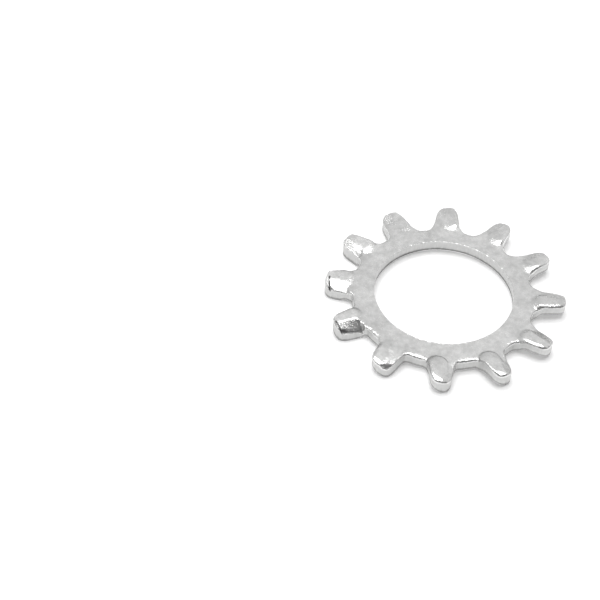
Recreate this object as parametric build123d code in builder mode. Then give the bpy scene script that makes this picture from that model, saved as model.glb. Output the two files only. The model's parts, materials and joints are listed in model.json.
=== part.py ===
from build123d import *

import os
from math import cos, hypot, pi, radians, sin, tan

# External toothed lock washer for an M10 bolt: one ring blanked from spring steel strip, with its
# teeth struck afterwards between two dies. The bolt's axis is Z, the ring's middle plane is XY, and
# the first tooth points along X. The punch side, with the rolled edges, faces up.

# Driving dimensions of the blank, in millimetres
bore_diameter = 10.5
root_diameter = 13.65  # circle that the gaps between the teeth are cut down to
outer_diameter = 18.2  # circle through the tips of the teeth
stock_thickness = 0.9
tooth_count = 12
tooth_root_width = 1.95  # across the flanks at the root circle
tooth_tip_width = 1.57  # across the flanks at the outer circle, before its corners are rounded
tip_corner_radius = 0.65
gap_corner_radius = 0.7

# Press work, in millimetres and degrees. The upper face of a tooth is bent in two: its clockwise
# part is a gently tilted sheet, lifted out of the ring, and the rest is a facet struck down at a
# steeper tilt. The lower face has the same two, turned over about the tooth's centre line.
sheet_tilt = 9.6
upper_lift = 0.18  # of the sheet's plane above the ring, on the tooth's centre line
upper_facet_tilt = 22.8
lower_lift = 0.11
lower_facet_tilt = 30
ridge_offset = 0.2  # from the tooth's centre line to the ridge between sheet and facet
ridge_half_width = 0.25  # of the strip that rounds the ridge
bend_run = 0.6  # length over which the ring bends into a tooth

# Edges, as blanking leaves them, in millimetres
roll_depth = 0.1  # how far the punch drew the edges down
outline_roll_width = 0.27
bore_roll_width = 0.25
breakout_height = 0.3  # where the bore tore instead of shearing, on the burr side
breakout_width = 0.09

# Sizes that follow from them
bore_radius = bore_diameter / 2
root_radius = root_diameter / 2
outer_radius = outer_diameter / 2
half_stock = stock_thickness / 2
pitch_angle = 360 / tooth_count
gap_width = pi * root_diameter / tooth_count - tooth_root_width
tip_corner = min(tip_corner_radius, 0.46 * tooth_tip_width)
gap_corner = min(gap_corner_radius, 0.46 * gap_width)

# A die covers one tooth and stops just short of the middle of the gaps beside it. Its inner corners
# lie just past the root circle, so that the middles of the gaps stay in the ring's plane.
die_corner_radius = 1.01 * root_radius
die_corner_angle = radians(0.99 * pitch_angle / 2)
die_half_width = die_corner_radius * sin(die_corner_angle)
bend_start = die_corner_radius * cos(die_corner_angle)
bend_end = bend_start + bend_run
die_reach = outer_radius + stock_thickness
steepest_slope = tan(radians(max(upper_facet_tilt, lower_facet_tilt)))
die_depth = 2 * (stock_thickness + die_half_width * steepest_slope)


def tooth_half_width(radius):
    """Half the width between the tapered flanks, at a distance from the axis."""
    taper = (tooth_tip_width - tooth_root_width) / (outer_radius - root_radius)
    return (tooth_root_width + taper * (radius - root_radius)) / 2


# Plan of one tooth, from inside the ring to past the outer circle
tooth_start = (bore_radius + root_radius) / 2
with BuildSketch() as tooth_plan:
    with BuildLine():
        Polyline(
            (tooth_start, -tooth_half_width(tooth_start)),
            (die_reach, -tooth_half_width(die_reach)),
            (die_reach, tooth_half_width(die_reach)),
            (tooth_start, tooth_half_width(tooth_start)),
            close=True,
        )
    make_face()


def corners_on(sketch, radius):
    """The corners of a sketch that lie on a circle about the axis."""
    return sketch.vertices().filter_by(lambda v: abs(hypot(v.X, v.Y) - radius) < 1e-4)


# Plan of the blank: tips and gaps with rounded corners, and the bore
with BuildSketch() as blank_plan:
    Circle(root_radius)
    with PolarLocations(0, tooth_count):
        add(tooth_plan.sketch)
    Circle(outer_radius, mode=Mode.INTERSECT)
    fillet(corners_on(blank_plan, outer_radius), tip_corner)
    fillet(corners_on(blank_plan, root_radius), gap_corner)
    Circle(bore_radius, mode=Mode.SUBTRACT)


def die_faces(lift, facet_tilt):
    """The faces of a die that presses the upper side of the tooth along X: its bend, and then its
    full depth, each in three strips, which are the sheet, the rounded ridge and the facet."""
    ridge = -ridge_offset
    slopes = {"sheet": tan(radians(sheet_tilt)), "facet": tan(radians(facet_tilt))}
    ridge_height = lift - slopes["sheet"] * ridge

    def control_point(radius, across, share):
        """A point of the die, at its share of the full depth."""
        slope = slopes["sheet"] if across < ridge else slopes["facet"]
        height = ridge_height - slope * (across - ridge)
        return (radius, across, half_stock + share * height)

    ridge_start = ridge - ridge_half_width
    ridge_end = ridge + ridge_half_width
    strips = [
        (-die_half_width, ridge_start),
        (ridge_start, ridge, ridge_end),
        (ridge_end, die_half_width),
    ]
    # Pairs of rows at no depth and at full depth leave both ends of the bend level with what they join
    third = bend_run / 3
    bend = [(bend_start, 0), (bend_start + third, 0), (bend_end - third, 1), (bend_end, 1)]
    full_depth = [(bend_end, 1), (die_reach, 1)]
    return [
        Face.make_bezier_surface(
            [[control_point(radius, across, share) for across in strip] for radius, share in rows]
        )
        for rows in (bend, full_depth)
        for strip in strips
    ]


with BuildPart() as upper_die:
    for face in die_faces(upper_lift, upper_facet_tilt):
        extrude(face, amount=die_depth, dir=(0, 0, 1))

with BuildPart() as lower_die:
    for face in die_faces(lower_lift, lower_facet_tilt):
        extrude(face.rotate(Axis.X, 180), amount=die_depth, dir=(0, 0, -1))

# The washer: the blank's outline, with its two sides taken from the flat ring and the dies
with BuildPart() as lock_washer:
    extrude(blank_plan.sketch, amount=die_depth / 2, both=True)
    for side in (1, -1):
        with BuildSketch(Plane.XY.offset(side * half_stock)):
            RegularPolygon(bend_start, tooth_count, major_radius=False, rotation=pitch_angle / 2)
        extrude(amount=side * die_depth, mode=Mode.SUBTRACT)
    with PolarLocations(0, tooth_count):
        add(upper_die.part, mode=Mode.SUBTRACT)
        add(lower_die.part, mode=Mode.SUBTRACT)

    # Burr side: the bore opens out where the slug tore away
    burr_face = lock_washer.faces().filter_by(Axis.Z).sort_by(Axis.Z)[0]
    torn_edge = burr_face.inner_wires()[0].edges()
    chamfer(torn_edge, breakout_width, breakout_height, reference=burr_face)

    # Punch side: the edge of the bore is drawn down
    punch_face = lock_washer.faces().filter_by(Axis.Z).sort_by(Axis.Z)[-1]
    bore_edge = punch_face.inner_wires()[0].edges()
    chamfer(bore_edge, bore_roll_width, roll_depth, reference=punch_face)

    # So is the outline, which a chamfer started at the bottom of one gap follows all the way round
    punch_face = lock_washer.faces().filter_by(Axis.Z).sort_by(Axis.Z)[-1]
    gap_arcs = punch_face.outer_wire().edges().filter_by(GeomType.CIRCLE)
    gap_arc = gap_arcs.filter_by(lambda edge: abs(edge.radius - root_radius) < 1e-4)[0]
    chamfer(gap_arc, outline_roll_width, roll_depth, reference=punch_face)

lock_washer.part.label = "lock_washer"

os.makedirs("parts", exist_ok=True)
export_step(lock_washer.part, "parts/lock_washer.step")
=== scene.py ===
import json
from collections import namedtuple
from math import cos, pi, radians, sin

import bmesh
import bpy
import numpy as np
from bpy.props import FloatProperty, FloatVectorProperty, IntProperty, PointerProperty
from mathutils import Matrix, Vector
from mathutils.kdtree import KDTree


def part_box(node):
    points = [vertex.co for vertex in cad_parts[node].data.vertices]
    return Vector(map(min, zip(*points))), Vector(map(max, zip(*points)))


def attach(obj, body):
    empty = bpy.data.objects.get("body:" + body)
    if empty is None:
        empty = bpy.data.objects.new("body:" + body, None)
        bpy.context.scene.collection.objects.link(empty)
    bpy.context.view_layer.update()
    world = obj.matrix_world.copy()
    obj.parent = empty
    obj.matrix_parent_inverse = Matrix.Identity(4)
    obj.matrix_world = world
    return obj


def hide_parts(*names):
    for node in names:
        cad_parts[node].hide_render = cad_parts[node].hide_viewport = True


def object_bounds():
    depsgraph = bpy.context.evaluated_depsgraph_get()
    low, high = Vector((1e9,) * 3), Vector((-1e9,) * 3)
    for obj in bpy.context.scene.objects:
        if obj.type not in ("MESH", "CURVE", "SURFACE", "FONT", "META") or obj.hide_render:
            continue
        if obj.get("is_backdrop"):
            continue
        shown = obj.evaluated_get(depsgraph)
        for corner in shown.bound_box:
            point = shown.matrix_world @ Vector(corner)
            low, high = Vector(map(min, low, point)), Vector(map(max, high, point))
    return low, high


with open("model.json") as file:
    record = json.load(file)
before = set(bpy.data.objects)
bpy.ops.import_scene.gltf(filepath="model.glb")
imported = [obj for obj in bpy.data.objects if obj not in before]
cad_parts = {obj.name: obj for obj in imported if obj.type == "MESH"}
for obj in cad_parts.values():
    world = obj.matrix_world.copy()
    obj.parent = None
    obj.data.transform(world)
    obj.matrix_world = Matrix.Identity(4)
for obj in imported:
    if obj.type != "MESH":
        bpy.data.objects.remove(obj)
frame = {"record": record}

bl_info = {
    "name": "Toothed Lock Washer",
    "version": (1, 0, 0),
    "blender": (4, 5, 0),
    "location": "View3D > Sidebar > Washer",
    "description": "Models an external tooth lock washer around its CAD solid and lights it",
    "category": "Add Mesh",
}

MM = 0.001
FULL_TURN = 2 * pi


# Sizes that the frame gives: the bore, the stock between the ring's flat faces, and the tip circle

MOUNTS = {mount["name"]: mount for mount in frame["record"]["mounts"]}
BORE_RADIUS = MOUNTS["bore"]["dims"]["r_mm"] * MM
STOCK = MOUNTS["punch_face"]["pos_m"][2] - MOUNTS["burr_face"]["pos_m"][2]
TIP_CIRCLE = round(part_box("lock_washer")[1].x / MM, 2)  # radius in millimetres


# Properties: what a user would change


class WasherShape(bpy.types.PropertyGroup):
    """Sizes of the blank and of its press work."""

    tooth_count: IntProperty(name="Teeth", description="Teeth around the ring", default=12, min=3)
    roll_width: FloatProperty(
        name="Rolled edge",
        description="Strip that the punch draws down along the ring and the raised flanks",
        default=0.30 * MM,
        unit="LENGTH",
    )
    roll_drop: FloatProperty(
        name="Rolled edge's fall",
        description="How far that strip falls to the edge",
        default=0.078 * MM,
        unit="LENGTH",
    )
    edge_radius: FloatProperty(
        name="Edge radius",
        description="Round that ends the rolled edge",
        default=0.115 * MM,
        unit="LENGTH",
    )
    bore_roll_width: FloatProperty(
        name="Rolled bore edge",
        description="Strip drawn down round the bore",
        default=0.07 * MM,
        unit="LENGTH",
    )
    burr_height: FloatProperty(
        name="Burr",
        description="Lip that the cut leaves round the lower edges",
        default=0.03 * MM,
        unit="LENGTH",
    )
    breakout_height: FloatProperty(
        name="Breakout height",
        description="Height of the bore's torn part, on the burr side",
        default=0.3 * MM,
        unit="LENGTH",
    )
    breakout_width: FloatProperty(
        name="Breakout width",
        description="How far the torn bore opens out",
        default=0.09 * MM,
        unit="LENGTH",
    )


class SteelFinish(bpy.types.PropertyGroup):
    """Colours and gloss of the tumbled steel."""

    colour: FloatVectorProperty(
        name="Steel",
        description="Colour of the bare steel",
        subtype="COLOR",
        default=(0.74, 0.74, 0.735),
        min=0,
        max=1,
    )
    cut_colour: FloatVectorProperty(
        name="Cut walls",
        description="Colour of the sheared walls",
        subtype="COLOR",
        default=(0.61, 0.61, 0.605),
        min=0,
        max=1,
    )
    # Painted shade: colour of the dark lines at creases and edges and of the darkened pits, which
    # stand in for shade there
    painted_shade_colour: FloatVectorProperty(
        name="Painted shade",
        description="Colour of the creases and pits",
        subtype="COLOR",
        default=(0.05, 0.05, 0.05),
        min=0,
        max=1,
    )
    face_roughness: FloatProperty(
        name="Faces",
        description="Roughness of the ring's faces",
        subtype="FACTOR",
        default=0.26,
        min=0,
        max=1,
    )
    struck_roughness: FloatProperty(
        name="Struck facets",
        description="Roughness where a die or the punch burnished it",
        subtype="FACTOR",
        default=0.13,
        min=0,
        max=1,
    )
    cut_roughness: FloatProperty(
        name="Cut walls' gloss",
        description="Roughness of the sheared walls",
        subtype="FACTOR",
        default=0.36,
        min=0,
        max=1,
    )


class StageLook(bpy.types.PropertyGroup):
    """Floor and light."""

    floor_colour: FloatVectorProperty(
        name="Floor",
        description="Colour of the floor",
        subtype="COLOR",
        default=(0.95, 0.95, 0.95),
        min=0,
        max=1,
    )
    floor_glow: FloatProperty(
        name="Floor's glow",
        description="Light added to the floor where it is seen, to bring it to white",
        default=0.15,
        min=0,
    )
    far_glow: FloatProperty(
        name="Far floor's glow",
        description="More such light where the floor lies far from the lamp",
        default=0.4,
        min=0,
    )
    tent_level: FloatProperty(
        name="Tent", description="Brightness of the light tent", default=0.82, min=0
    )
    lamp_power: FloatProperty(
        name="Overhead lamp",
        description="Power of the overhead lamp",
        default=0.20,
        min=0,
        unit="POWER",
    )
    back_lamp_power: FloatProperty(
        name="Back lamp",
        description="Power of the lamp that lights only the floor",
        default=0.05,
        min=0,
        unit="POWER",
    )


# Teeth. One row for each, counter-clockwise from the tooth along X: what sets it apart from the
# even tooth. Lengths are in millimetres, angles in degrees and slopes in rise over run.
#   turn, lean    angle from its even place round the ring, and lean of its centre line
#   reach, width  past the even tip circle, and past the even half width
#   crown         how much further the middle of the tip stands out, which rounds it
#   lift, sheet   height of the sheet above the ring, and its slope across the tooth
#   ramp          length over which that height is reached
#   crease        share of that height taken in a sharp step, where the die's edge bit the ring
#   facet, curl   slope of the facet beside the ridge, and its growth for each millimetre outwards
#   fade          loss of the facet's slope for each millimetre towards the tip
#   root_run      length over which the facet is reached from the ring
#   flank         extra fall of the rolled edge on the raised flank
#   tip, droop    where the tip is bent down, and to what slope
#   bend, side    slant of the line where the tip is bent, and how far across the tooth it reaches
#   steep, swing  growth of that slope further on, and slant of the line where it grows
#   rim           where along the tooth a die's edge ended the facet, marked by a line of painted shade, or 0

EVEN_TOOTH = {
    "turn": 0,
    "lean": 0,
    "reach": 0,
    "width": 0,
    "crown": 0,
    "lift": 0.18,
    "sheet": 0.17,
    "ramp": 0.8,
    "crease": 0,
    "facet": 0.42,
    "curl": 0.05,
    "fade": 0,
    "root_run": 0.45,
    "flank": 0.9,
    "tip": 8.52,
    "droop": 0,
    "bend": 0.5,
    "side": 0.35,
    "steep": 0,
    "swing": 0.1,
    "rim": 0,
}
Tooth = namedtuple("Tooth", EVEN_TOOTH, defaults=EVEN_TOOTH.values())
TEETH = (
    Tooth(facet=0.28, root_run=0.4),
    Tooth(turn=0.3, lift=0.21, ramp=1.4, facet=0.26, root_run=0.9, flank=0.3),
    Tooth(turn=-0.6, crown=0.08, lift=0.12, ramp=0.9, facet=0.24, root_run=1.0),
    Tooth(reach=0.08, width=0.04, crown=0.10, lift=0.12, ramp=0.9, facet=0.22, root_run=1.0),
    Tooth(turn=0.3, reach=0.13, width=0.05, crown=0.16, lift=0, ramp=1.2, facet=0.20, root_run=1.0),
    Tooth(
        turn=-0.4, reach=-0.02, width=0.02, crown=0.08, lift=0.15,
        facet=0.46, curl=-0.9, fade=0.28, root_run=0.3,
    ),
    Tooth(
        turn=-0.5, reach=-0.11, width=0.13, lift=0.13, sheet=0.09, ramp=1.0,
        facet=0.38, curl=0.02, root_run=0.3, rim=8.66,
    ),
    Tooth(
        reach=-0.13, width=0.03, sheet=0.08,
        facet=0.59, curl=0.27, fade=0.22, root_run=0.15, rim=8.80,
    ),
    Tooth(
        turn=0.6, lean=3, reach=-0.20, width=0.02, lift=0.10, sheet=0.12, ramp=1.5,
        facet=0.17, root_run=1.2,
        tip=8.62, droop=0.36, bend=0.1, side=0.7, steep=0.7, swing=1.05,
    ),
    Tooth(
        turn=1.0, reach=-0.25, width=-0.07, crease=0.35, ramp=1.0, root_run=1.0, flank=0,
        tip=8.58, droop=0.36, steep=0.8, swing=0.4,
    ),
    Tooth(
        turn=1.4, reach=-0.15, width=-0.06, crease=0.35, ramp=1.0, root_run=1.0, flank=-0.9,
        tip=8.76, droop=0.35, bend=0.8, steep=0.6, swing=0.6,
    ),
    Tooth(turn=0.3, reach=-0.05, root_run=0.6),
)

# The lower face: the upper one's lift times a share, and one plain facet
UNDER_LIFT = 0.6
UNDER_FACE = {
    "sheet": 0.17,
    "crease": 0,
    "facet": 0.58,
    "curl": 0,
    "fade": 0,
    "droop": 0,
    "steep": 0,
    "rim": 0,
}

# Struck faces, in millimetres along and across a tooth
BEND_CENTRE = (7.2, -0.3)  # the bend out of the ring starts on an arc round this point
BEND_RADIUS = 0.78
BITE_SHARPNESS = 6  # of the step where a die's edge bit the ring
RIDGE = (0.12, -0.10)  # place of the ridge across the tooth at RIDGE_START, and its drift outwards
RIDGE_START = 7.3
RIDGE_ROUND = 0.03  # rounding of the ridge
BURNISH_RUN = 0.08  # from the ridge to where the facet is burnished
FACET_ROOT = 7.31  # where the facet begins on the centre line
FACET_ROOT_SLANT = -0.48  # drift of that place for each millimetre across
FACET_ROOT_END = 0.7  # how far across the tooth that slant goes on
FADE_MIDDLE = 8.01  # where a fading facet has its own row's slope
FACET_TURNED = 0.05  # outward rise at which a facet with a falling slope stops turning
RIM_SLANT = 0.12  # drift of a facet's rim towards the ring for each millimetre across
RIM_RUN = 0.12  # length over which the facet ends there
RIM_RELIEF = 0.7  # share of the facet's slope lost past its rim
RIM_LIFT_RUN = 0.25  # from the ridge to where a rimmed facet has the sheet's whole lift
SIDE_RUN = 0.3  # over which a bent tip ends across the tooth
DROOP_ROUND = 0.06  # rounding of the line where a tip is bent
TIP_STEEP = 0.20  # from where the tip is bent to its steeper end
STEEP_ROUND = 0.04  # rounding of the line where it grows steeper
STEEP_SIDE = 0.4  # how much further across the tooth the steeper end reaches
SWING_MIDDLE = 0.1  # place across the tooth about which that line is slanted

# Rolled edges. Each start is a place and the run over which it takes hold.
TOOTH_START = (6.9, 0.4)
GAP_START = (9, 3.5)  # in degrees from a tooth's centre line
SIDE_START = (0.1, 0.3)  # across, on either side of the centre line
DROOP_START = (8.3, 0.3)
TIP_START = (8.2, 0.3)
TIP_SIDE_START = (-0.7, 0.3)
FULL_DROOP = 0.36  # slope of a bent tip that has the whole change below
FACET_ROLL = (0.55, 0.95)  # shares of the width and of the fall lost beside a facet
RIM_TIP_ROLL = 0.6  # extra fall at a rimmed tooth's tip
DROOP_ROLL = 0.8  # share of the fall lost where the tip is bent down
ROOT_ROLL = 0.45  # share of the fall at a tooth's root
EDGE_WAVES = (37, 61, 97)  # waves round the washer that make its rolled edges uneven
WAVE_DEPTH = 0.3  # share of the fall
EDGE_SOFTENING = 0.4  # share by which a bent tip's radius grows and a facet's shrinks
BORE_ROLL = (0.108, 0.36)  # even and wavy fall of the bore's rolled edge, for its width
BORE_ROUND = 0.2  # radius of that edge for its width
ROUND_SHARE = 0.5  # share of the strip that forms the round; the rest forms the bevel
BEVEL_EASE = 1.2  # how the bevel eases out into the face: 1 is straight
BURR_SHARE = 0.125  # share of the strip that the burr's slope takes
CUT_FADE = 0.3  # share of a cut wall's finish lost at its top, where it turns into the rolled edge
CUT_FADE_START = (0.85, 0.15)  # as shares of the stock

# Painted shade: dark lines for the shade and dark reflections at facets' rims, rolled edges and
# bends. Darkness, then place and width in millimetres
RIM_LINE = (1.5, 0, 0.06)
ROLL_LINE = (0.8, 0.7, 0.17)  # these as shares of the strip along the edge
BITE_LINE = (0.7, 0.04, 0.05)
RIM_LINE_START = (-0.25, 0.2)
ROLL_LINE_START = (7.3, 0.2)
BITE_SPREAD = 0.98  # share of the bend's arc that it follows
BITE_GROWTH = 3  # darkness for the share of a tooth's crease, up to 1

# Cage of the blank, in millimetres. Rows of a tooth run from its root to its tip: place along the
# tooth, half width of its sides, half width of its two middle columns.
RING_MIDDLE = 6.0
TIP_CORNERS = 0.1  # how far inside the tip circle the last row lies
TOOTH_ROWS = (
    (6.86, 1.12, 0.34),
    (7.30, 0.97, 0.31),
    (7.90, 0.89, 0.28),
    (8.50, 0.84, 0.25),
    (TIP_CIRCLE - TIP_CORNERS, 0.62, 0.19),
)
TIP_CROWN = 0.11  # how far the middle of the tip stands past its corners
GAP_ANGLE = 12.2  # in degrees from a tooth's centre line to the gap beside it
GAP_RADIUS = 6.82  # of the outline's root circle
GAP_OFFSET = 0.14  # that circle lies this far off the bore's axis
GAP_OFFSET_ANGLE = 245
COLUMNS_PER_TOOTH = 7
EDGE_BAND = 0.32 * MM  # strip along every edge that the rolled edge is formed from
SMOOTHING_LEVELS = 3
WALL_ROWS = 7
SHARP_ANGLE = 50  # in degrees; edges up to it are shaded smooth
SAME_POINT = 1e-3 * MM
BORE_MARGIN = 1.02  # points nearer the axis than this many bore radii belong to the bore's edge
TOP_MARGIN = 1e-4  # points nearer the top than this share of the stock belong to the upper face
TINY = 1e-6


def deselect_all():
    bpy.ops.object.select_all(action="DESELECT")


def apply_modifier(piece, kind, name, **settings):
    """Adds a modifier to the piece, gives it its settings and applies it."""
    modifier = piece.modifiers.new(name, kind)
    for setting, value in settings.items():
        setattr(modifier, setting, value)
    bpy.context.view_layer.objects.active = piece
    bpy.ops.object.modifier_apply(modifier=modifier.name)


def column_places(tooth_count):
    """Tooth number, angle, kind and side of each column of the cage round the ring."""
    pitch = FULL_TURN / tooth_count
    gap = radians(GAP_ANGLE)
    places = []
    for index in range(tooth_count):
        middle = index * pitch
        turned = middle + radians(TEETH[index % len(TEETH)].turn)
        places.append((index, middle - pitch / 2, "gap", 0))
        places.append((index, turned - gap, "gap", 0))
        for kind, side in (("side", -1), ("middle", -1), ("middle", 1), ("side", 1)):
            places.append((index, turned, kind, side))
        places.append((index, turned + gap, "gap", 0))
    return places


def tooth_point(middle, along, across):
    """Plan position of a point given along and across a tooth."""
    x = along * cos(middle) - across * sin(middle)
    y = along * sin(middle) + across * cos(middle)
    return Vector((x, y, 0))


def lean_shift(along, lean):
    """How far a leaning tooth's centre line lies aside, at a place along it, in millimetres."""
    past_root = np.clip(along - TOOTH_ROWS[0][0], 0, None)
    return np.sin(np.radians(lean)) * past_root**2 / (TOOTH_ROWS[-1][0] - TOOTH_ROWS[0][0])


def row_point(place, row):
    """Where a column's vertex lies on one row of the outline: the root circle or a tooth's row."""
    index, angle, kind, side = place
    tooth = TEETH[index % len(TEETH)]
    if kind == "gap":
        radius = (GAP_RADIUS + GAP_OFFSET * cos(angle - radians(GAP_OFFSET_ANGLE))) * MM
        return Vector((radius * cos(angle), radius * sin(angle), 0))
    along, half, inner = TOOTH_ROWS[row]
    last = len(TOOTH_ROWS) - 1
    along += tooth.reach * row / last
    if kind == "middle" and row == last:
        along += TIP_CROWN + tooth.crown
    across = side * (half + tooth.width if kind == "side" else inner)
    across += lean_shift(along, tooth.lean)
    return tooth_point(angle, along * MM, across * MM)


def angle_of(point):
    return np.arctan2(point.y, point.x) % FULL_TURN


def place_selected(mesh, points):
    """Moves the selected vertices, taken in order of angle, to the points, taken the same way."""
    selected = sorted((v for v in mesh.verts if v.select), key=lambda v: angle_of(v.co))
    if len(selected) != len(points):
        raise RuntimeError(f"{len(selected)} vertices for {len(points)} places in the cage")
    for vertex, point in zip(selected, sorted(points, key=angle_of)):
        vertex.co = point


def extrude_row(piece, points):
    """Extrudes the selected edges and lays the new row on its points."""
    bpy.ops.mesh.extrude_edges_move()
    mesh = bmesh.from_edit_mesh(piece.data)
    place_selected(mesh, points)
    bmesh.update_edit_mesh(piece.data)


def select_edges(piece, wanted):
    """Selects exactly the edges that the test wants."""
    mesh = bmesh.from_edit_mesh(piece.data)
    for item in (*mesh.verts, *mesh.edges, *mesh.faces):
        item.select = False
    for edge in mesh.edges:
        if wanted(edge):
            edge.select_set(True)
    mesh.select_flush_mode()
    bmesh.update_edit_mesh(piece.data)


def row_finder(places, row):
    """A test for the edges that join the vertices of one tooth on one row."""
    on_teeth = [place for place in places if place[2] != "gap"]
    tree = KDTree(len(on_teeth))
    for number, place in enumerate(on_teeth):
        tree.insert(row_point(place, row), number)
    tree.balance()

    def on_row(edge):
        (_, first, gap), (_, second, other_gap) = (tree.find(vertex.co) for vertex in edge.verts)
        return max(gap, other_gap) < SAME_POINT and on_teeth[first][0] == on_teeth[second][0]

    return on_row


def make_cage(shape):
    """The flat cage of the ring and its teeth: a circle at the bore, extruded row by row."""
    places = column_places(shape.tooth_count)
    on_teeth = [place for place in places if place[2] != "gap"]
    root = [row_point(place, 0) for place in places]
    deselect_all()
    bpy.ops.mesh.primitive_circle_add(
        vertices=COLUMNS_PER_TOOTH * shape.tooth_count, radius=BORE_RADIUS, fill_type="NOTHING"
    )
    cage = bpy.context.object
    cage.name = "washer"
    bpy.ops.object.mode_set(mode="EDIT")
    bpy.ops.mesh.select_mode(type="EDGE")
    bpy.ops.mesh.select_all(action="SELECT")
    circle = bmesh.from_edit_mesh(cage.data)
    place_selected(circle, [point.normalized() * BORE_RADIUS for point in root])
    extrude_row(cage, [point.normalized() * RING_MIDDLE * MM for point in root])
    extrude_row(cage, root)
    for row in range(1, len(TOOTH_ROWS)):
        select_edges(cage, row_finder(places, row - 1))
        extrude_row(cage, [row_point(place, row) for place in on_teeth])
    return cage


def make_blank(shape):
    """The flat blank: the cage with a strip along its edges, smoothed, and given its stock."""
    blank = make_cage(shape)
    bpy.ops.mesh.select_mode(type="FACE")
    bpy.ops.mesh.select_all(action="SELECT")
    bpy.ops.mesh.inset(thickness=EDGE_BAND, use_boundary=True)
    bpy.ops.object.mode_set(mode="OBJECT")
    levels = {"levels": SMOOTHING_LEVELS, "render_levels": SMOOTHING_LEVELS}
    apply_modifier(blank, "SUBSURF", "Smoothed outline", **levels)
    mark_edge_band(blank)
    apply_modifier(blank, "SOLIDIFY", "Stock", thickness=STOCK, offset=0)

    bpy.ops.object.mode_set(mode="EDIT")
    bpy.ops.mesh.select_mode(type="EDGE")
    select_edges(blank, lambda edge: abs(edge.verts[0].co.z - edge.verts[1].co.z) > STOCK / 2)
    bpy.ops.mesh.subdivide(number_cuts=WALL_ROWS - 1)
    bpy.ops.object.mode_set(mode="OBJECT")
    return blank


def mark_edge_band(piece):
    """Writes on each vertex its share of the way in over the strip, and its point on the edge."""
    mesh = bmesh.new()
    mesh.from_mesh(piece.data)
    share = mesh.verts.layers.float.new("edge_share")
    outline = mesh.verts.layers.float_vector.new("edge_point")
    front = [vertex for vertex in mesh.verts if vertex.is_boundary]
    reached = set(front)
    for vertex in mesh.verts:
        vertex[share] = float(vertex not in reached)
        vertex[outline] = vertex.co
    rows = 2**SMOOTHING_LEVELS
    for row in range(1, rows):
        inward = []
        for vertex in front:
            for edge in vertex.link_edges:
                other = edge.other_vert(vertex)
                if other not in reached:
                    reached.add(other)
                    other[share] = row / rows
                    other[outline] = vertex[outline]
                    inward.append(other)
        front = inward
    mesh.to_mesh(piece.data)
    mesh.free()


def read_points(piece):
    points = np.empty(len(piece.data.vertices) * 3)
    piece.data.vertices.foreach_get("co", points)
    return points.reshape(-1, 3)


def read_attribute(piece, name, width=1):
    values = np.empty(len(piece.data.vertices) * width)
    field = "value" if width == 1 else "vector"
    piece.data.attributes[name].data.foreach_get(field, values)
    return values if width == 1 else values.reshape(-1, width)


def write_attribute(piece, name, values):
    attribute = piece.data.attributes.new(name, "FLOAT", "POINT")
    attribute.data.foreach_set("value", values.astype(np.float32))


def smooth_step(values):
    """0 below 0, 1 above 1, and a smooth rise between."""
    values = np.clip(values, 0, 1)
    return values * values * (3 - 2 * values)


def soft_hinge(values, radius):
    """0 below 0 and a straight rise above, with the corner rounded."""
    return (values + np.sqrt(values * values + radius * radius)) / 2


def rise_from(values, start, run):
    """0 up to the start, 1 past the run, and a smooth rise between."""
    return smooth_step((values - start) / run)


def line_at(distance, width):
    """1 on a line, with a quick smooth fall to 0 beside it."""
    return np.exp(-((distance / width) ** 2))


def ridge_line(along):
    """How far across a tooth the ridge between its sheet and its facet lies."""
    return RIDGE[0] + RIDGE[1] * (along - RIDGE_START)


def bend_line(across):
    """Where along a tooth the bend out of the ring starts."""
    arc = BEND_RADIUS**2 - (across - BEND_CENTRE[1]) ** 2
    return BEND_CENTRE[0] - np.sqrt(np.clip(arc, 0, None))


def rim_line(across, tooth):
    """Where along a tooth the die's edge ended the facet."""
    return tooth["rim"] - RIM_SLANT * across


def press_height(along, across, tooth):
    """Height in millimetres of a tooth's struck face over the flat blank, and where it is burnished.

    The clockwise part is lifted out of the ring as a nearly level sheet, from an arc in the ring.
    The other part is struck down as a sloping facet, which begins at a cut across the tooth's root.
    """
    rise = np.clip((along - bend_line(across)) / tooth["ramp"], 0, 1)
    bitten = 1 - (1 - rise) ** BITE_SHARPNESS
    rise = smooth_step(rise) + (bitten - smooth_step(rise)) * tooth["crease"]

    rimmed = tooth["rim"] > 0
    root = FACET_ROOT + FACET_ROOT_SLANT * np.clip(across, None, FACET_ROOT_END)
    struck = rise_from(along, root, tooth["root_run"])
    outward = soft_hinge(across - ridge_line(along), RIDGE_ROUND)
    rise += (1 - rise) * struck * rise_from(outward, 0, RIM_LIFT_RUN) * rimmed
    sheet = (tooth["lift"] - tooth["sheet"] * across) * rise

    slope = tooth["facet"] - tooth["sheet"] - tooth["fade"] * (along - FADE_MIDDLE)
    past_rim = rise_from(along, rim_line(across, tooth) - RIM_RUN / 2, RIM_RUN) * rimmed
    slope = slope * (1 - RIM_RELIEF * past_rim)
    turned = (slope + FACET_TURNED) / np.abs(tooth["curl"] - TINY)
    bent = np.where(tooth["curl"] < 0, np.clip(outward, 0, turned), outward)
    depth = slope * bent + tooth["curl"] * bent**2 / 2 - FACET_TURNED * (outward - bent)

    past = along - tooth["tip"] - tooth["bend"] * across
    side = rise_from(across, tooth["side"], -SIDE_RUN)
    droop = tooth["droop"] * soft_hinge(past, DROOP_ROUND) * side
    steeper = past - TIP_STEEP + tooth["swing"] * (across - SWING_MIDDLE)
    steep_side = rise_from(across, tooth["side"] + STEEP_SIDE, -SIDE_RUN)
    droop += tooth["steep"] * soft_hinge(steeper, STEEP_ROUND) * steep_side

    facet = rise_from(across, ridge_line(along), BURNISH_RUN) * struck * (1 - past_rim)
    halfway_up = 4 * rise * (1 - rise) * (tooth["crease"] == 0)
    return sheet - depth * struck - droop, np.maximum(facet, halfway_up)


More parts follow.
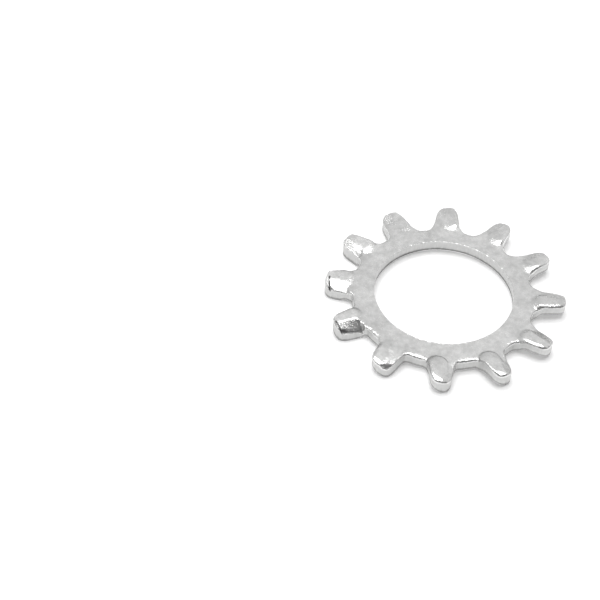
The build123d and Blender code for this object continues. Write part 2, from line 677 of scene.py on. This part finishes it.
def roll_profile(share, width, fall, radius):
    """Distance from the edge, and drop, of the rolled edge: a small round, then an easing bevel."""
    turn = np.clip(share / ROUND_SHARE, 0, 1) * pi / 2
    beyond = np.clip((share - ROUND_SHARE) / (1 - ROUND_SHARE), 0, 1)
    inset = radius * (1 - np.cos(turn)) + (width - radius) * beyond
    bevel = np.clip(1 - inset / width, 0, 1) ** BEVEL_EASE
    return inset, radius * (1 - np.sin(turn)) + fall * bevel


def tooth_places(plan, shape):
    """The fields of the tooth that each point belongs to, and its place along and across it."""
    pitch = FULL_TURN / shape.tooth_count
    index = np.round(np.arctan2(plan[:, 1], plan[:, 0]) / pitch).astype(int) % shape.tooth_count
    rows = [TEETH[number % len(TEETH)] for number in range(shape.tooth_count)]
    tooth = {
        name: np.array([getattr(row, name) for row in rows], float)[index] for name in Tooth._fields
    }
    middle = index * pitch + np.radians(tooth["turn"])
    along = (plan[:, 0] * np.cos(middle) + plan[:, 1] * np.sin(middle)) / MM
    across = (plan[:, 1] * np.cos(middle) - plan[:, 0] * np.sin(middle)) / MM
    return tooth, along, across - lean_shift(along, tooth["lean"])


def facet_side(along, across):
    """1 on a tooth's struck side, and 0 on the ring and on its raised side."""
    return rise_from(across, *SIDE_START) * rise_from(along, *TOOTH_START)


def roll_sizes(plan, at_bore, shape):
    """Width, fall and radius of the rolled edge near each point.

    It is wide on the ring and the raised flanks, and narrow beside a facet and in the bore.
    """
    tooth, along, across = tooth_places(plan, shape)
    on_tooth = rise_from(along, *TOOTH_START)
    on_facet = facet_side(along, across)
    on_sheet = facet_side(along, -across)
    in_gap = rise_from(np.degrees(np.arctan2(np.abs(across), along)), *GAP_START)
    drooping = rise_from(along, *DROOP_START) * np.clip(tooth["droop"] / FULL_DROOP, 0, 1)
    at_tip = rise_from(along, *TIP_START) * rise_from(across, *TIP_SIDE_START) * (tooth["rim"] > 0)
    narrow = on_facet * (1 - at_tip)

    width = shape.roll_width * (1 - FACET_ROLL[0] * narrow)
    radius = shape.edge_radius * (1 + EDGE_SOFTENING * (drooping - on_facet))
    fall = 1 - FACET_ROLL[1] * narrow + RIM_TIP_ROLL * at_tip + tooth["flank"] * on_sheet
    fall *= shape.roll_drop * (1 - DROOP_ROLL * drooping)
    full_fall = ROOT_ROLL + (1 - ROOT_ROLL) * np.maximum(in_gap, on_tooth)
    fall *= np.where(along < RIDGE_START, full_fall, 1)
    angle = np.arctan2(plan[:, 1], plan[:, 0])
    wavy = sum(np.sin(waves * angle + waves) for waves in EDGE_WAVES) / len(EDGE_WAVES)
    fall *= 1 + WAVE_DEPTH * wavy

    bore_width = shape.bore_roll_width
    bore_fall = bore_width * (BORE_ROLL[0] + BORE_ROLL[1] * wavy)
    width = np.where(at_bore, bore_width, width)
    fall = np.where(at_bore, bore_fall, fall)
    radius = np.where(at_bore, bore_width * BORE_ROUND, radius)
    return width, fall, radius


def painted_shade_lines(along, across, tooth, share, facet):
    """Painted shade: how dark a facet's rim, its rolled edge and the bend out of the ring are
    painted, for the shade there.
    """
    darkness, place, width = RIM_LINE
    at_rim = darkness * line_at(along - rim_line(across, tooth) - place, width)
    at_rim = at_rim * rise_from(across, *RIM_LINE_START)
    darkness, place, width = ROLL_LINE
    at_roll = darkness * line_at(share - place, width) * facet * rise_from(along, *ROLL_LINE_START)
    darkness, place, width = BITE_LINE
    at_bend = darkness * line_at(along - bend_line(across) - place, width)
    at_bend = at_bend * (np.abs(across - BEND_CENTRE[1]) < BEND_RADIUS * BITE_SPREAD)
    at_bend = at_bend * np.clip(tooth["crease"] * BITE_GROWTH, 0, 1)
    return np.clip(np.maximum(at_rim, at_roll) * (tooth["rim"] > 0) + at_bend, 0, 1)


def press_teeth(piece, shape):
    """Rolls the edges over, strikes the teeth on both faces, tears the bore and raises the burr."""
    points = read_points(piece)
    share = read_attribute(piece, "edge_share")
    outline = read_attribute(piece, "edge_point", 3)[:, :2]
    plan = points[:, :2]
    level = points[:, 2] / STOCK + 0.5
    top = level > 1 - TOP_MARGIN
    on_edge = share < TINY
    at_bore = np.hypot(outline[:, 0], outline[:, 1]) < BORE_RADIUS * BORE_MARGIN
    on_facet = facet_side(*tooth_places(plan, shape)[1:])

    inset, drop = roll_profile(share, *roll_sizes(plan, at_bore, shape))
    inward = plan - outline
    banded = (top & (share > 0) & (share < 1))[:, None]
    reach = np.maximum(np.linalg.norm(inward, axis=1), TINY * MM)
    plan = np.where(banded, outline + inward * (inset / reach)[:, None], plan)

    # The lower face is the upper one turned over about the tooth's centre line
    tooth, along, across = tooth_places(plan, shape)
    under = {**tooth, **UNDER_FACE, "lift": tooth["lift"] * UNDER_LIFT}
    raised, facet = press_height(along, across, tooth)
    lowered, under_facet = press_height(along, -across, under)
    top_z = STOCK / 2 + raised * MM - np.where(share < 1, drop, 0)
    burr = shape.burr_height * np.clip(1 - share / BURR_SHARE, 0, 1)
    bottom_z = -STOCK / 2 - lowered * MM - burr
    z = bottom_z + (top_z - bottom_z) * level

    torn = np.clip(1 - (z - bottom_z) / shape.breakout_height, 0, 1)
    opened = (BORE_RADIUS + shape.breakout_width * torn) / np.linalg.norm(plan, axis=1)
    plan = np.where((at_bore & on_edge)[:, None], plan * opened[:, None], plan)
    piece.data.vertices.foreach_set("co", np.column_stack((plan, z)).ravel())

    below = np.where(level > 0.5, 0, under_facet)
    cut = 1 - CUT_FADE * rise_from(level, *CUT_FADE_START)
    # Lines of painted shade at the rims, rolled edges and bends, kept in the line attribute
    line = painted_shade_lines(along, across, tooth, share, on_facet * facet)
    write_attribute(piece, "facet", np.where(top, facet, below))
    write_attribute(piece, "rolled", np.where(top, 1 - share, 0))
    write_attribute(piece, "cut", np.where(on_edge, cut, 0))
    write_attribute(piece, "line", np.where(top, line, 0))
    write_attribute(piece, "height", level)
    piece.data.update()


def build_washer(shape):
    piece = make_blank(shape)
    press_teeth(piece, shape)
    deselect_all()
    piece.select_set(True)
    bpy.context.view_layer.objects.active = piece
    bpy.ops.object.shade_smooth_by_angle(angle=radians(SHARP_ANGLE))
    return piece


# Materials. Arithmetic on a Value adds its Math nodes.

MIX_FACTOR, MIX_FIRST, MIX_SECOND, MIX_RESULT = 0, 6, 7, 2  # sockets of a Mix node for colours

# The steel's patterns: how many spots of each come to a millimetre
BLOTCHES = 0.8
MOTTLING = 2.6
PITS = 7.0
STREAKS = 9.0
GRAIN = 12.0
STRUCK_GRAIN = 14.0
STREAK_SHAPE = (1, 1, 0.12)  # the walls' streaks run along Z
SCRATCHES = (  # how the noise of each set is squeezed, and between which levels it comes in
    ((9, 0.5, 1), (0.735, 0.76)),
    ((0.6, 11, 1), (0.745, 0.77)),
)
PIT_EDGE = (0.71, 0.76)  # levels of noise between which a pit comes in

# Tones: a base for the faces and one for the cut walls, and what each pattern adds
FACE_TONE = 0.53
BLOTCH_TONE = 0.517
MOTTLE_TONE = 0.376
GRAIN_TONE = 0.047
SCRATCH_TONE = -0.06
WALL_TONE = 0.84
STREAK_TONE = 0.3
# the torn foot of each wall is darker: partly its duller torn steel, partly painted shade where the
# wall meets the floor
TORN_TONE_AND_SHADE = -0.30
TORN_EDGE = (0.33, 0.43)  # as shares of the wall's height
TORN_RAGGEDNESS = 0.3
SHADE_LINE_EDGE = (0.1, 0.45)  # levels of mottling between which a dark line comes in
# painted shade in the pits
PIT_SHADE = 0.15

# Gloss and relief
ROLL_BURNISH = 0.5  # how burnished the rolled edges are, for a facet's 1
ROLL_BURNISH_EDGE = (0.0, 0.3)
TORN_ROUGHNESS = 0.1
MOTTLE_ROUGHNESS = 0.12
FACE_RELIEF = 0.006 * MM
STRUCK_RELIEF = 0.028 * MM
WALL_RELIEF = 0.02 * MM
MOTTLE_RELIEF = 0.95  # share of the faces' relief that is mottling; the rest is grain


class Value:
    """A number that varies over a surface, held by a shader socket."""

    def __init__(self, shader, socket):
        self.shader = shader
        self.socket = socket

    def __add__(self, other):
        return self.shader.math("ADD", self, other)

    def __sub__(self, other):
        return self.shader.math("SUBTRACT", self, other)

    def __rsub__(self, other):
        return self.shader.math("SUBTRACT", other, self)

    def __mul__(self, other):
        return self.shader.math("MULTIPLY", self, other)

    __radd__ = __add__
    __rmul__ = __mul__


class Shader:
    """The nodes of one material or world."""

    def __init__(self, owner):
        owner.use_nodes = True
        self.tree = owner.node_tree
        self.tree.nodes.clear()

    def add(self, kind, settings, sockets):
        """Adds a node, gives it its settings, and then the values or links of its sockets."""
        node = self.tree.nodes.new(kind)
        for name, value in settings.items():
            setattr(node, name, value)
        for name, value in sockets.items():
            value = value.socket if isinstance(value, Value) else value
            if isinstance(value, bpy.types.NodeSocket):
                self.tree.links.new(value, node.inputs[name])
            else:
                node.inputs[name].default_value = value
        return node

    def math(self, operation, first, second):
        node = self.add("ShaderNodeMath", {"operation": operation}, {0: first, 1: second})
        return Value(self, node.outputs[0])

    def greater(self, first, second):
        return self.math("MAXIMUM", first, second)

    def step(self, value, low, high):
        """0 below low, 1 above high, and a smooth rise between."""
        sockets = {"Value": value, "From Min": low, "From Max": high}
        node = self.add("ShaderNodeMapRange", {"interpolation_type": "SMOOTHSTEP"}, sockets)
        return Value(self, node.outputs["Result"])

    def attribute(self, name):
        node = self.add("ShaderNodeAttribute", {"attribute_name": name}, {})
        return Value(self, node.outputs["Fac"])

    def stretched(self, point, scale):
        """The point scaled along each axis, which squeezes a pattern that is read there."""
        sockets = {0: point, 1: scale}
        node = self.add("ShaderNodeVectorMath", {"operation": "MULTIPLY"}, sockets)
        return node.outputs["Vector"]

    def shaded(self, colour, tone):
        """A colour made lighter or darker by its tone."""
        sockets = {0: colour[:], "Scale": tone}
        node = self.add("ShaderNodeVectorMath", {"operation": "SCALE"}, sockets)
        return node.outputs["Vector"]

    def facing(self, direction, axis):
        """How far a direction faces along an axis: the cosine of the angle between them."""
        sockets = {0: direction, 1: axis}
        node = self.add("ShaderNodeVectorMath", {"operation": "DOT_PRODUCT"}, sockets)
        return Value(self, node.outputs["Value"])

    def noise(self, point, scale, detail=2.0, roughness=0.5):
        sockets = {"Vector": point, "Scale": scale, "Detail": detail, "Roughness": roughness}
        node = self.add("ShaderNodeTexNoise", {}, sockets)
        return Value(self, node.outputs[0])

    def mix(self, factor, first, second):
        """One colour into another."""
        sockets = {MIX_FACTOR: factor, MIX_FIRST: first, MIX_SECOND: second}
        return self.add("ShaderNodeMix", {"data_type": "RGBA"}, sockets).outputs[MIX_RESULT]

    def bump(self, height, distance, normal=None):
        sockets = {"Height": height, "Distance": distance}
        if normal:
            sockets["Normal"] = normal
        return self.add("ShaderNodeBump", {}, sockets).outputs["Normal"]

    def finish(self, kind, surface):
        self.add(kind, {}, {"Surface": surface})


def opaque(colour):
    return (*colour, 1.0)


def steel_material(look):
    """Tumbled steel: soft blotches, pits and fine dents, burnished facets and sheared walls, with
    painted shade in the pits and along creases and edges; the walls' torn foot is darker, partly
    painted shade.
    """
    material = bpy.data.materials.new("steel")
    shader = Shader(material)
    place = shader.add("ShaderNodeTexCoord", {}, {}).outputs["Object"]
    point = shader.stretched(place, (1 / MM, 1 / MM, 1 / MM))

    facet = shader.attribute("facet")
    rolled = shader.attribute("rolled")
    cut = shader.attribute("cut")
    line = shader.attribute("line")
    height = shader.attribute("height")

    blotch = shader.noise(point, BLOTCHES, detail=3)
    mottle = shader.noise(point, MOTTLING)
    grain = shader.noise(point, GRAIN, roughness=0.6)
    struck_grain = shader.noise(point, STRUCK_GRAIN, detail=1, roughness=0.4)
    pits = shader.step(shader.noise(point, PITS, detail=1), *PIT_EDGE)
    streaks = shader.noise(shader.stretched(point, STREAK_SHAPE), STREAKS, detail=3, roughness=0.6)
    scratches = shader.greater(
        *(
            shader.step(shader.noise(shader.stretched(point, squeeze), 1.0, detail=1), *levels)
            for squeeze, levels in SCRATCHES
        )
    )
    torn = 1 - shader.step(height + TORN_RAGGEDNESS * streaks, *TORN_EDGE)

    patterns = BLOTCH_TONE * blotch + MOTTLE_TONE * mottle + GRAIN_TONE * grain
    face = shader.shaded(look.colour, FACE_TONE + SCRATCH_TONE * scratches + patterns)
    # Walls darker at their torn foot: duller torn steel and painted shade
    wall = shader.shaded(look.cut_colour, WALL_TONE + STREAK_TONE * streaks + TORN_TONE_AND_SHADE * torn)
    # Painted shade: dark lines at rims, rolled edges and bends, where the mottling lets them
    # through, and darkened pits
    painted_shade = shader.greater(line * shader.step(mottle, *SHADE_LINE_EDGE), PIT_SHADE * pits)
    colour = shader.mix(painted_shade, shader.mix(cut, face, wall), opaque(look.painted_shade_colour))

    burnished = shader.greater(facet, ROLL_BURNISH * shader.step(rolled, *ROLL_BURNISH_EDGE))
    roughness = look.face_roughness + burnished * (look.struck_roughness - look.face_roughness)
    roughness = roughness + cut * (look.cut_roughness - look.struck_roughness)
    roughness = roughness + TORN_ROUGHNESS * cut * torn + MOTTLE_ROUGHNESS * (mottle - 0.5)

    relief = mottle * MOTTLE_RELIEF + grain * (1 - MOTTLE_RELIEF)
    faces = shader.bump(relief, FACE_RELIEF)
    struck = shader.bump(struck_grain * burnished, STRUCK_RELIEF, faces)
    walls = shader.bump(streaks * cut, WALL_RELIEF, struck)

    surface = shader.add(
        "ShaderNodeBsdfPrincipled",
        {},
        {"Base Color": colour, "Metallic": 1.0, "Roughness": roughness, "Normal": walls},
    )
    shader.finish("ShaderNodeOutputMaterial", surface.outputs[0])
    return material


# Stage: floor, light tent, two lamps and camera

CAMERA_TURN = 8.0
CAMERA_ELEVATION = 47.5716
CAMERA_DISTANCE = 73.2307 * MM
CAMERA_ROLL = -0.32665
CAMERA_LENS = 58.764
CAMERA_SENSOR = 36
CAMERA_CLIP = (1 * MM, 10)
AIM = (-10.8264 * MM, -0.91413 * MM)  # middle of the view from the axis, rightwards and backwards

FLOOR_SIZE = 0.36
FLOOR_ROUGHNESS = 0.9
FAR_FLOOR = (40 * MM, 150 * MM)  # distance over which the far floor's glow comes in
UNDER_RING = (6.1 * MM, 0.55 * MM)  # middle radius and half width of the floor's window

# The tent: levels as shares of the brightest, and directions as the camera sees them
DARK_SIDE = (0.25, -0.78, 0.57)  # towards the middle of its dark side, where the camera stands
DARK_SIDE_LOSS = 0.71
DARK_SIDE_EDGE = (56, 38)  # in degrees from that middle
LEFT_LEVEL = 0.9
LEFT_EDGE = (0.0, 0.22)  # how far rightwards a direction points where it grows brighter
HORIZON_LEVEL = 0.45
HORIZON_EDGE = (0.08, 0.36)  # how far up or down a direction points where it grows brighter

LAMP_DIRECTION = (-0.07, 0.0, 0.998)
LAMP_DISTANCE = 0.2
LAMP_SIZE = (0.175, 0.125)
BACK_LAMP_DIRECTION = (-0.10, 0.24, 0.96)
BACK_LAMP_SIZE = (0.05, 0.03)


def floor_material(look):
    """A plain pale floor, clear from below, with a window that lets light in under the ring."""
    material = bpy.data.materials.new("floor")
    shader = Shader(material)
    path = shader.add("ShaderNodeLightPath", {}, {}).outputs
    in_view = Value(shader, path["Is Camera Ray"])
    mirrored = Value(shader, path["Is Glossy Ray"])
    seen = in_view + mirrored + Value(shader, path["Is Transmission Ray"])
    place = shader.add("ShaderNodeTexCoord", {}, {}).outputs["Object"]
    length = shader.add("ShaderNodeVectorMath", {"operation": "LENGTH"}, {0: place})
    radius = Value(shader, length.outputs["Value"])
    far = shader.step(radius, *FAR_FLOOR)
    pale = shader.add(
        "ShaderNodeBsdfPrincipled",
        {},
        {
            "Base Color": opaque(look.floor_colour),
            "Roughness": FLOOR_ROUGHNESS,
            "Specular IOR Level": 0.0,
            "Emission Color": look.floor_glow * seen + look.far_glow * (far * in_view),
            "Emission Strength": 1.0,
        },
    )
    clear = shader.add("ShaderNodeBsdfTransparent", {}, {})
    below = Value(shader, shader.add("ShaderNodeNewGeometry", {}, {}).outputs["Backfacing"])
    off_ring = shader.math("ABSOLUTE", radius - UNDER_RING[0], 0)
    window = shader.math("LESS_THAN", off_ring, UNDER_RING[1])
    sockets = {0: shader.greater(below, window), 1: pale.outputs[0], 2: clear.outputs[0]}
    surface = shader.add("ShaderNodeMixShader", {}, sockets)
    shader.finish("ShaderNodeOutputMaterial", surface.outputs[0])
    return material


def build_tent(look):
    """The world: a pale tent, dark where the camera stands, and dimmer left and by the horizon."""
    world = bpy.data.worlds.new("light_tent")
    bpy.context.scene.world = world
    shader = Shader(world)
    direction = shader.add("ShaderNodeTexCoord", {}, {}).outputs["Generated"]
    turn = Matrix.Rotation(radians(CAMERA_TURN), 3, "Z")
    to_dark_side = shader.facing(direction, turn @ Vector(DARK_SIDE).normalized())
    to_right = shader.facing(direction, turn @ Vector((1, 0, 0)))
    upward = Value(shader, shader.add("ShaderNodeSeparateXYZ", {}, {0: direction}).outputs["Z"])
    dark_edge = (cos(radians(angle)) for angle in DARK_SIDE_EDGE)
    lit = 1 - DARK_SIDE_LOSS * shader.step(to_dark_side, *dark_edge)
    lit = lit * (LEFT_LEVEL + (1 - LEFT_LEVEL) * shader.step(to_right, *LEFT_EDGE))
    off_horizon = shader.step(shader.math("ABSOLUTE", upward, 0), *HORIZON_EDGE)
    high = HORIZON_LEVEL + (1 - HORIZON_LEVEL) * off_horizon
    strength = look.tent_level * (lit * high)
    seen = Value(shader, shader.add("ShaderNodeLightPath", {}, {}).outputs["Is Camera Ray"])
    strength = strength * (1 - seen) + seen
    light = shader.add("ShaderNodeBackground", {}, {"Color": (1, 1, 1, 1), "Strength": strength})
    shader.finish("ShaderNodeOutputWorld", light.outputs[0])


def build_lamp(name, direction, size, power):
    """An oval lamp that faces the washer from a direction given as the camera sees it."""
    turn = Matrix.Rotation(radians(CAMERA_TURN), 3, "Z")
    direction = turn @ Vector(direction).normalized()
    deselect_all()
    bpy.ops.object.light_add(type="AREA", location=direction * LAMP_DISTANCE)
    lamp = bpy.context.object
    lamp.name = name
    lamp.data.shape = "ELLIPSE"
    lamp.data.size, lamp.data.size_y = size
    lamp.data.energy = power
    lean = Vector((0, 0, 1)).rotation_difference(direction).to_matrix()
    lamp.rotation_euler = (lean @ turn).to_euler()
    return lamp


def build_camera():
    """The camera, placed round the washer's axis and then turned as a whole."""
    elevation, roll = radians(CAMERA_ELEVATION), radians(CAMERA_ROLL)
    back = Vector((0, -cos(elevation), sin(elevation)))
    across = Vector((1, 0, 0))
    up = back.cross(across)
    right = across * cos(roll) + up * sin(roll)
    top = up * cos(roll) - across * sin(roll)
    pose = Matrix((right, top, back)).transposed().to_4x4()
    pose.translation = back * CAMERA_DISTANCE + Vector((*AIM, STOCK / 2))
    bpy.ops.object.camera_add()
    camera = bpy.context.object
    camera.name = "camera"
    camera.data.sensor_width = CAMERA_SENSOR
    camera.data.lens = CAMERA_LENS
    camera.data.clip_start, camera.data.clip_end = CAMERA_CLIP
    camera.matrix_world = Matrix.Rotation(radians(CAMERA_TURN), 4, "Z") @ pose
    bpy.context.scene.camera = camera


def build_floor(look):
    deselect_all()
    bpy.ops.mesh.primitive_plane_add(size=FLOOR_SIZE, location=(0, 0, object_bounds()[0].z))
    floor = bpy.context.object
    floor.name = "floor"
    floor.data.materials.append(floor_material(look))
    floor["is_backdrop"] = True


# Operators and panel


class WASHER_OT_build(bpy.types.Operator):
    """Models the washer over its CAD solid and gives it its steel"""

    bl_idname = "washer.build"
    bl_label = "Build Washer"

    def execute(self, context):
        piece = build_washer(context.scene.washer_shape)
        piece.data.materials.append(steel_material(context.scene.steel_finish))
        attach(piece, "root")
        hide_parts("lock_washer")
        return {"FINISHED"}


class WASHER_OT_stage(bpy.types.Operator):
    """Lays the floor and sets up the light tent, the lamps and the camera"""

    bl_idname = "washer.stage"
    bl_label = "Build Stage"

    def execute(self, context):
        look = context.scene.stage_look
        build_floor(look)
        build_tent(look)
        build_lamp("overhead_lamp", LAMP_DIRECTION, LAMP_SIZE, look.lamp_power)
        power = look.back_lamp_power
        back_lamp = build_lamp("back_lamp", BACK_LAMP_DIRECTION, BACK_LAMP_SIZE, power)
        back_lamp.visible_glossy = False
        build_camera()
        context.scene.view_settings.view_transform = "Standard"
        return {"FINISHED"}


class WASHER_PT_panel(bpy.types.Panel):
    """Lists the washer's sizes and finishes, and its operators"""

    bl_idname = "WASHER_PT_panel"
    bl_label = "Toothed Lock Washer"
    bl_space_type = "VIEW_3D"
    bl_region_type = "UI"
    bl_category = "Washer"

    def draw(self, context):
        for group, operator in PANEL_ROWS:
            box = self.layout.box()
            for name in getattr(context.scene, group).__annotations__:
                box.prop(getattr(context.scene, group), name)
            if operator:
                box.operator(operator)


GROUPS = {"washer_shape": WasherShape, "steel_finish": SteelFinish, "stage_look": StageLook}
OPERATORS = (WASHER_OT_build, WASHER_OT_stage)
PANEL_ROWS = (
    ("washer_shape", None),
    ("steel_finish", WASHER_OT_build.bl_idname),
    ("stage_look", WASHER_OT_stage.bl_idname),
)


def register():
    for kind in (*GROUPS.values(), *OPERATORS, WASHER_PT_panel):
        bpy.utils.register_class(kind)
    for name, kind in GROUPS.items():
        setattr(bpy.types.Scene, name, PointerProperty(type=kind))


def unregister():
    for name in GROUPS:
        delattr(bpy.types.Scene, name)
    for kind in (WASHER_PT_panel, *OPERATORS, *GROUPS.values()):
        bpy.utils.unregister_class(kind)


def main():
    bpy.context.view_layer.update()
    register()
    bpy.ops.washer.build()
    bpy.ops.washer.stage()


if __name__ == "__main__":
    main()
